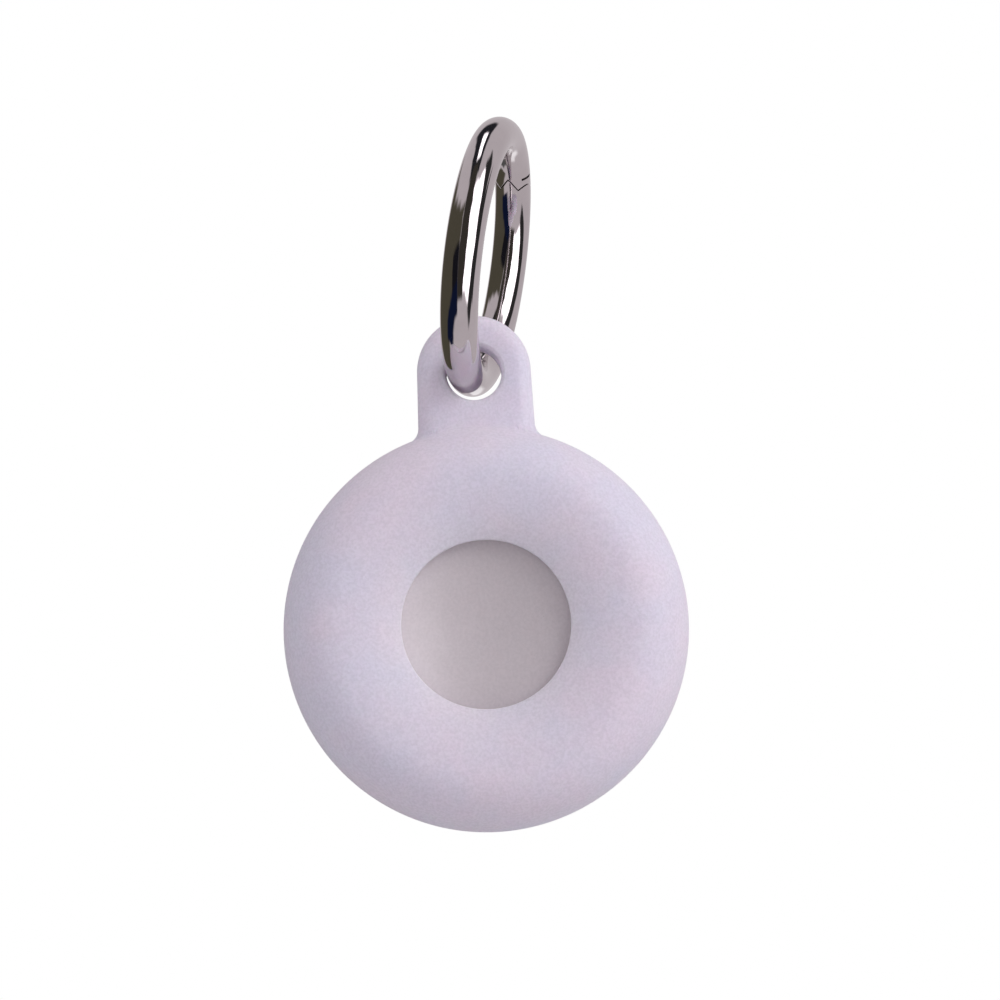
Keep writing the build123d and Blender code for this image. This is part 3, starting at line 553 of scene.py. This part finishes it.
def ring_body():
    """The fixed C: from its forked ears at the hinge pin, round the near side, to the zigzag nose at the
    latch."""
    piece = ring_stretch(
        "ring_c",
        lambda x, rho: angle_at(WIRE_R, rho),
        lambda x, rho: angle_at(latch_reach(x, rho, 0), rho) + 2 * pi,
        420,
    )
    cut(piece, pin_drum("slot_cutter", SLOT_R, 0, SLOT_W))
    cut(piece, pin_drum("pin_cutter", PIN_R + PIN_CLEAR, 0, 3 * WIRE_R))
    cut(piece, groove_cutter())
    return piece


def ring_gate():
    """The hinged arc between the latch seam and the fork's ears."""
    return ring_stretch(
        "gate_arc",
        lambda x, rho: angle_at(latch_reach(x, rho, SEAM), rho),
        lambda x, rho: angle_at(WIRE_R + SEAM, rho),
        150,
    )


# ------------------------------------------------------------------ materials
class Finish:
    """A material and short ways to add its nodes."""

    def __init__(self, name):
        self.material = bpy.data.materials.new(name)
        self.material.use_nodes = True
        self.nodes = self.material.node_tree.nodes
        self.shader = self.nodes["Principled BSDF"]
        self.coordinates = self.nodes.new("ShaderNodeTexCoord").outputs["Object"]

    def join(self, output, socket):
        self.material.node_tree.links.new(output, socket)

    def set(self, **values):
        for name, value in values.items():
            self.shader.inputs[name.replace("_", " ")].default_value = value

    def noise(self, grain, detail=3.0, rough=0.55):
        """Noise whose lumps are grain millimetres across."""
        node = self.nodes.new("ShaderNodeTexNoise")
        node.inputs["Scale"].default_value = 1 / (grain * MM)
        node.inputs["Detail"].default_value = detail
        node.inputs["Roughness"].default_value = rough
        self.join(self.coordinates, node.inputs["Vector"])
        return node.outputs["Fac"]

    def ramp(self, value, *stops):
        node = self.nodes.new("ShaderNodeValToRGB")
        while len(node.color_ramp.elements) < len(stops):
            node.color_ramp.elements.new(0.5)
        for element, (place, colour) in zip(node.color_ramp.elements, stops):
            element.position = place
            element.color = (*colour, 1) if len(colour) == 3 else colour
        self.join(value, node.inputs["Fac"])
        return node.outputs["Color"]

    def times(self, first, second):
        """The product of two colours."""
        node = self.nodes.new("ShaderNodeMix")
        node.data_type = "RGBA"
        node.blend_type = "MULTIPLY"
        node.inputs[0].default_value = 1.0
        self.join(first, node.inputs[6])
        self.join(second, node.inputs[7])
        return node.outputs[2]

    def spread(self, value, low, high):
        """Turns 0 to 1 into low to high."""
        node = self.nodes.new("ShaderNodeMapRange")
        node.inputs["To Min"].default_value = low
        node.inputs["To Max"].default_value = high
        self.join(value, node.inputs["Value"])
        return node.outputs["Result"]

    def bump(self, value, depth, under=None):
        """Relief of the given depth in millimetres."""
        node = self.nodes.new("ShaderNodeBump")
        node.inputs["Distance"].default_value = depth * MM
        self.join(value, node.inputs["Height"])
        if under is not None:
            self.join(under, node.inputs["Normal"])
        return node.outputs["Normal"]


def silicone():
    """Translucent moulded silicone: soft light inside it, a fine matte grain and slight clouds of pink and
    blue."""
    finish = Finish("silicone")
    clouds = finish.noise(9.0, 2.0)
    colour = finish.ramp(clouds, (0.35, (0.84, 0.81, 0.94)), (0.65, (0.89, 0.81, 0.92)))
    speckle = finish.ramp(finish.noise(0.28, 3.0), (0.35, (0.90, 0.90, 0.90)), (0.65, (1.0, 1.0, 1.0)))
    finish.join(finish.times(colour, speckle), finish.shader.inputs["Base Color"])
    finish.set(Subsurface_Weight=0.6, Subsurface_Radius=(2.2, 1.7, 2.0), Subsurface_Scale=MM, IOR=1.41)
    finish.join(finish.spread(finish.noise(0.4), 0.52, 0.70), finish.shader.inputs["Roughness"])
    grain = finish.bump(finish.noise(0.22, 4.0), 0.012)
    finish.join(grain, finish.shader.inputs["Normal"])
    return finish.material


def polished(name, colour, rough, wave):
    """Plated and polished metal: a mirror that waves a little, with faint rubbing in its gloss."""
    finish = Finish(name)
    finish.set(Metallic=1.0)
    tint = finish.ramp(finish.noise(3.0, 3.0), (0.3, tuple(c * 0.93 for c in colour)), (0.7, colour))
    finish.join(tint, finish.shader.inputs["Base Color"])
    rubbing = finish.noise(0.5, 5.0, 0.7)
    finish.join(finish.spread(rubbing, rough * 0.6, rough * 1.6), finish.shader.inputs["Roughness"])
    waves = finish.bump(finish.noise(4.0, 1.0), wave)
    finish.join(finish.bump(rubbing, 0.0006, waves), finish.shader.inputs["Normal"])
    return finish.material


def moulded(name, colour, rough, grain=0.25, depth=0.006):
    """Moulded plastic or rubber: an even colour with a slight cloud and a fine spark-eroded grain."""
    finish = Finish(name)
    cloud = finish.ramp(finish.noise(5.0), (0.3, tuple(c * 0.94 for c in colour)), (0.7, colour))
    finish.join(cloud, finish.shader.inputs["Base Color"])
    texture = finish.noise(grain, 4.0)
    gloss = finish.spread(texture, rough * 0.85, min(rough * 1.15, 1.0))
    finish.join(gloss, finish.shader.inputs["Roughness"])
    finish.join(finish.bump(texture, depth), finish.shader.inputs["Normal"])
    return finish.material


def satin(name, colour, rough):
    """Satin moulded plastic: an even colour, a broad soft shine and a very fine grain."""
    finish = Finish(name)
    cloud = finish.ramp(finish.noise(4.0), (0.3, tuple(c * 0.96 for c in colour)), (0.7, colour))
    speckle = finish.ramp(finish.noise(0.3, 3.0), (0.35, (0.93, 0.93, 0.93)), (0.65, (1.0, 1.0, 1.0)))
    finish.join(finish.times(cloud, speckle), finish.shader.inputs["Base Color"])
    finish.set(Specular_IOR_Level=1.0)
    finish.set(Subsurface_Weight=0.3, Subsurface_Radius=(1.5, 1.2, 1.2), Subsurface_Scale=MM)
    texture = finish.noise(0.25, 4.0)
    finish.join(finish.spread(texture, rough * 0.8, rough * 1.2), finish.shader.inputs["Roughness"])
    finish.join(finish.bump(texture, 0.005), finish.shader.inputs["Normal"])
    return finish.material


def pressed(name, colour, rough, metallic=1.0):
    """Pressed or drawn sheet metal: streaks of rolling in its gloss and a faint unevenness."""
    finish = Finish(name)
    finish.set(Metallic=metallic)
    stretch = finish.nodes.new("ShaderNodeMapping")
    stretch.inputs["Scale"].default_value = (1.0, 1.0, 14.0)
    finish.join(finish.coordinates, stretch.inputs["Vector"])
    streaks = finish.nodes.new("ShaderNodeTexNoise")
    streaks.inputs["Scale"].default_value = 400.0
    streaks.inputs["Detail"].default_value = 4.0
    finish.join(stretch.outputs["Vector"], streaks.inputs["Vector"])
    tint = finish.ramp(streaks.outputs["Fac"], (0.3, tuple(c * 0.88 for c in colour)), (0.7, colour))
    finish.join(tint, finish.shader.inputs["Base Color"])
    gloss = finish.spread(streaks.outputs["Fac"], rough * 0.7, rough * 1.4)
    finish.join(gloss, finish.shader.inputs["Roughness"])
    finish.join(finish.bump(streaks.outputs["Fac"], 0.002), finish.shader.inputs["Normal"])
    return finish.material


def dress(piece, material):
    """Gives the whole piece one finish."""
    piece.data.materials.clear()
    piece.data.materials.append(material)


# ------------------------------------------------------------------ making
def place(piece, node, slot, body, material):
    """Puts a finished piece in for a node of the frame, on the node's body."""
    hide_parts(node)
    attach(piece, body)
    dress(piece, material)


RING_METAL = polished("ring_metal", (0.66, 0.62, 0.63), 0.06, 0.02)
COVER_PLASTIC = satin("cover_plastic", (0.72, 0.66, 0.69), 0.30)
FINISHES = {
    "ring_metal": RING_METAL,
    "cover_plastic": COVER_PLASTIC,
    "pin_steel": pressed("pin_steel", (0.55, 0.54, 0.54), 0.3),
    "spring_steel": pressed("spring_steel", (0.50, 0.49, 0.48), 0.35),
    "shell_plastic": moulded("shell_plastic", (0.86, 0.86, 0.87), 0.3),
    "frame_plastic": moulded("frame_plastic", (0.78, 0.78, 0.79), 0.5),
    "board_laminate": moulded("board_laminate", (0.03, 0.16, 0.10), 0.35),
    "chip_resin": moulded("chip_resin", (0.03, 0.03, 0.035), 0.5),
    "can_metal": pressed("can_metal", (0.62, 0.61, 0.58), 0.35),
    "capacitor_ceramic": moulded("capacitor_ceramic", (0.45, 0.32, 0.20), 0.5),
    "inductor_ferrite": moulded("inductor_ferrite", (0.10, 0.10, 0.11), 0.6),
    "antenna_copper": pressed("antenna_copper", (0.72, 0.45, 0.30), 0.3),
    "coil_copper": pressed("coil_copper", (0.66, 0.34, 0.18), 0.35),
    "basket_plastic": moulded("basket_plastic", (0.05, 0.05, 0.055), 0.5),
    "yoke_steel": pressed("yoke_steel", (0.52, 0.52, 0.50), 0.35),
    "magnet_nickel": pressed("magnet_nickel", (0.60, 0.59, 0.57), 0.3),
    "diaphragm_film": moulded("diaphragm_film", (0.55, 0.47, 0.30), 0.3),
    "contact_gold": pressed("contact_gold", (0.80, 0.62, 0.30), 0.3),
    "cell_steel": pressed("cell_steel", (0.64, 0.63, 0.61), 0.25),
    "gasket_nylon": moulded("gasket_nylon", (0.70, 0.70, 0.66), 0.5),
    "cell_core": moulded("cell_core", (0.12, 0.12, 0.12), 0.7),
    "cover_steel": polished("cover_steel", (0.70, 0.69, 0.68), 0.1, 0.004),
    "pad_foam": moulded("pad_foam", (0.10, 0.10, 0.10), 0.95),
    "seal_rubber": moulded("seal_rubber", (0.06, 0.06, 0.065), 0.6),
}
for subpart in RECORD["subparts"]:
    if subpart["node"] != "silicone_sleeve":
        dress(frame["nodes"][subpart["node"]], FINISHES[subpart["material_slot"]])

place(holder(), "silicone_sleeve", "silicone", "sleeve", silicone())
place(front_cover(), "front_cover", "cover_plastic", "tracker", COVER_PLASTIC)
place(battery_cover(), "battery_cover", "cover_steel", "battery_cover", FINISHES["cover_steel"])
place(ring_body(), "ring_body", "ring_metal", "ring", RING_METAL)
place(ring_gate(), "ring_gate", "ring_metal", "gate", RING_METAL)
place(gate_tongue(), "ring_gate", "ring_metal", "gate", RING_METAL)


# ------------------------------------------------------------------ floor, light and camera
def floor():
    """A plain pale floor well below the hanging tag."""
    half, height = 2300.0, -260.0
    corners = [(-half, -half, height), (half, -half, height), (half, half, height), (-half, half, height)]
    piece = make_mesh("floor", corners, [(0, 1, 2, 3)])
    finish = Finish("floor_paper")
    finish.set(Base_Color=(0.8, 0.8, 0.8, 1), Roughness=0.9)
    dress(piece, finish.material)
    piece.visible_glossy = False


def lamp(name, place, aim, size, watts):
    """A rectangular soft light at a place, in millimetres from the tag's centre, that faces the aim. Shiny
    surfaces don't mirror it: what they mirror is in the surroundings."""
    light = bpy.data.lights.new(name, "AREA")
    light.shape = "RECTANGLE"
    light.size, light.size_y = size[0] * MM, size[1] * MM
    light.energy = watts
    light.color = (1.0, 0.985, 1.0)
    stand = bpy.data.objects.new(name, light)
    bpy.context.scene.collection.objects.link(stand)
    position = Vector((TAG_CENTRE + place) * MM)
    target = Vector((TAG_CENTRE + aim) * MM)
    stand.location = position
    stand.rotation_euler = (target - position).to_track_quat("-Z", "Y").to_euler()
    stand.visible_glossy = False


ROOM = (0.98, 0.94, 0.98)
ROOM_STRENGTH = 0.50
# What shiny surfaces mirror: a name, its middle and half width in degrees round from the camera's side to
# the right, its middle and half height in degrees up, and its light.
REFLECTED = (
    ("left_flag", -88, 62, -4, 38, (0.085, 0.078, 0.055)),
    ("centre_flag", -3, 21, 8, 58, (0.045, 0.040, 0.034)),
    ("black_flag", -40, 17, -24, 26, (0.010, 0.010, 0.014)),
    ("low_left_flag", -66, 42, -44, 15, (0.006, 0.010, 0.034)),
    ("strip", 42, 24, 0, 42, (3.0, 2.9, 3.0)),
    ("right_flag", 80, 14, 0, 46, (0.03, 0.03, 0.03)),
    ("back_window", 168, 9, -20, 13, (1.1, 1.08, 1.1)),
    ("back_flag", -166, 9, -20, 15, (0.10, 0.10, 0.10)),
)
# What they mirror overhead: a name, its middle and half width to the right as shares of the whole sky, its
# middle and half height in degrees up, and its light.
OVERHEAD = (
    ("ceiling_flag", -0.02, 0.30, 84, 32, (0.02, 0.02, 0.025)),
    ("ceiling_light", 0.03, 0.09, 86, 14, (3.0, 2.9, 3.0)),
)
REFLECTED_ROOM = (0.60, 0.555, 0.575)
WAVE = 14.0  # degrees, how wavy the edges of the patches are


class Sky:
    """The world's nodes and short ways to add to them."""

    def __init__(self):
        world = bpy.data.worlds.new("room")
        bpy.context.scene.world = world
        world.use_nodes = True
        self.nodes, self.links = world.node_tree.nodes, world.node_tree.links
        self.background = self.nodes["Background"]
        self.output = self.nodes["World Output"]

    def math(self, operation, *values):
        node = self.nodes.new("ShaderNodeMath")
        node.operation = operation
        for socket, value in zip(node.inputs, values):
            if isinstance(value, (int, float)):
                socket.default_value = value
            else:
                self.links.new(value, socket)
        return node.outputs[0]

    def within(self, value, middle, half, soft):
        """1 where the value lies within half of the middle, and a soft edge to 0 outside."""
        away = self.math("ABSOLUTE", self.math("SUBTRACT", value, middle))
        node = self.nodes.new("ShaderNodeMapRange")
        node.interpolation_type = "SMOOTHSTEP"
        node.inputs["From Min"].default_value = half + soft
        node.inputs["From Max"].default_value = half - soft
        self.links.new(away, node.inputs["Value"])
        return node.outputs["Result"]

    def mix(self, share, below, above):
        node = self.nodes.new("ShaderNodeMix")
        node.data_type = "RGBA"
        self.links.new(share, node.inputs[0])
        if isinstance(below, tuple):
            node.inputs[6].default_value = (*below, 1)
        else:
            self.links.new(below, node.inputs[6])
        node.inputs[7].default_value = (*above, 1)
        return node.outputs[2]

    def directions(self):
        """Degrees round from the camera's side to the right, degrees up, and the share to the right. All are
        wavy."""
        way = self.nodes.new("ShaderNodeTexCoord").outputs["Generated"]
        split = self.nodes.new("ShaderNodeSeparateXYZ")
        self.links.new(way, split.inputs[0])
        noise = self.nodes.new("ShaderNodeTexNoise")
        noise.inputs["Scale"].default_value = 3.0
        noise.inputs["Detail"].default_value = 2.0
        self.links.new(way, noise.inputs["Vector"])
        wave = self.math("MULTIPLY", self.math("SUBTRACT", noise.outputs["Fac"], 0.5), WAVE)
        behind = self.math("MULTIPLY", split.outputs["Y"], -1.0)
        round_right = self.math("DEGREES", self.math("ARCTAN2", split.outputs["X"], behind))
        up = self.math("DEGREES", self.math("ARCSINE", split.outputs["Z"]))
        aside = self.math("ADD", split.outputs["X"], self.math("DIVIDE", wave, 100.0))
        return self.math("ADD", round_right, wave), self.math("ADD", up, wave), aside


def surroundings():
    """A pale room all round. What the camera sees directly is plain white, and shiny surfaces mirror studio
    flags and a strip light in the room."""
    sky = Sky()
    round_right, up, aside = sky.directions()
    seen = REFLECTED_ROOM
    for sideways, soft, patches in ((aside, 0.03, OVERHEAD), (round_right, 2.5, REFLECTED)):
        for _, middle, half, height, half_height, light in patches:
            share = sky.math(
                "MULTIPLY",
                sky.within(sideways, middle, half, soft),
                sky.within(up, height, half_height, 4.0),
            )
            seen = sky.mix(share, seen, light)
    path = sky.nodes.new("ShaderNodeLightPath")
    room = sky.nodes.new("ShaderNodeBackground")
    room.inputs["Color"].default_value = (*ROOM, 1)
    room.inputs["Strength"].default_value = ROOM_STRENGTH
    plain = sky.nodes.new("ShaderNodeBackground")
    plain.inputs["Color"].default_value = (1, 1, 1, 1)
    sky.links.new(seen, sky.background.inputs["Color"])
    glossy = sky.nodes.new("ShaderNodeMixShader")
    sky.links.new(path.outputs["Is Glossy Ray"], glossy.inputs["Fac"])
    sky.links.new(room.outputs[0], glossy.inputs[1])
    sky.links.new(sky.background.outputs[0], glossy.inputs[2])
    direct = sky.nodes.new("ShaderNodeMixShader")
    sky.links.new(path.outputs["Is Camera Ray"], direct.inputs["Fac"])
    sky.links.new(glossy.outputs[0], direct.inputs[1])
    sky.links.new(plain.outputs[0], direct.inputs[2])
    sky.links.new(direct.outputs[0], sky.output.inputs["Surface"])


CAMERA_AWAY = 250.0
CAMERA_BELOW = 5.0
CAMERA_ROLL = 2.8
FIELD = 98.9  # width of the view at the tag
TAG_IN_VIEW = (-1.35, -12.67)  # the tag's centre from the middle of the view


def camera():
    """The camera faces the tag from a little below, rolled so that the tag leans to the left."""
    back = np.array([0, -cos(radians(CAMERA_BELOW)), -sin(radians(CAMERA_BELOW))])
    level = np.cross(-back, (0, 0, 1))
    right = level / np.linalg.norm(level)
    up = np.cross(right, -back)
    roll = -radians(CAMERA_ROLL)
    right, up = right * cos(roll) + up * sin(roll), up * cos(roll) - right * sin(roll)
    place = TAG_CENTRE + CAMERA_AWAY * back
    aim = TAG_CENTRE - TAG_IN_VIEW[0] * right - TAG_IN_VIEW[1] * up
    ahead = (aim - place) / np.linalg.norm(aim - place)
    side = np.cross(ahead, up)
    side = side / np.linalg.norm(side)
    turned_up = np.cross(side, ahead)
    data = bpy.data.cameras.new("camera")
    data.sensor_width = 36.0
    data.lens = 36.0 * CAMERA_AWAY / FIELD
    data.clip_start, data.clip_end = 0.01, 20.0
    piece = bpy.data.objects.new("camera", data)
    bpy.context.scene.collection.objects.link(piece)
    turn = Matrix((side, turned_up, -ahead)).transposed().to_4x4()
    piece.matrix_world = Matrix.Translation(Vector(place * MM)) @ turn
    bpy.context.scene.camera = piece


floor()
surroundings()
camera()
lamp("key", (400, -320, 330), (0, 0, 0), (300, 300), 1.06)
lamp("graze", (560, -135, 60), (0, 0, 0), (110, 260), 0.42)
lamp("fill", (-300, -420, 200), (0, 0, 0), (400, 400), 0.24)
bpy.context.scene.view_settings.view_transform = "Standard"
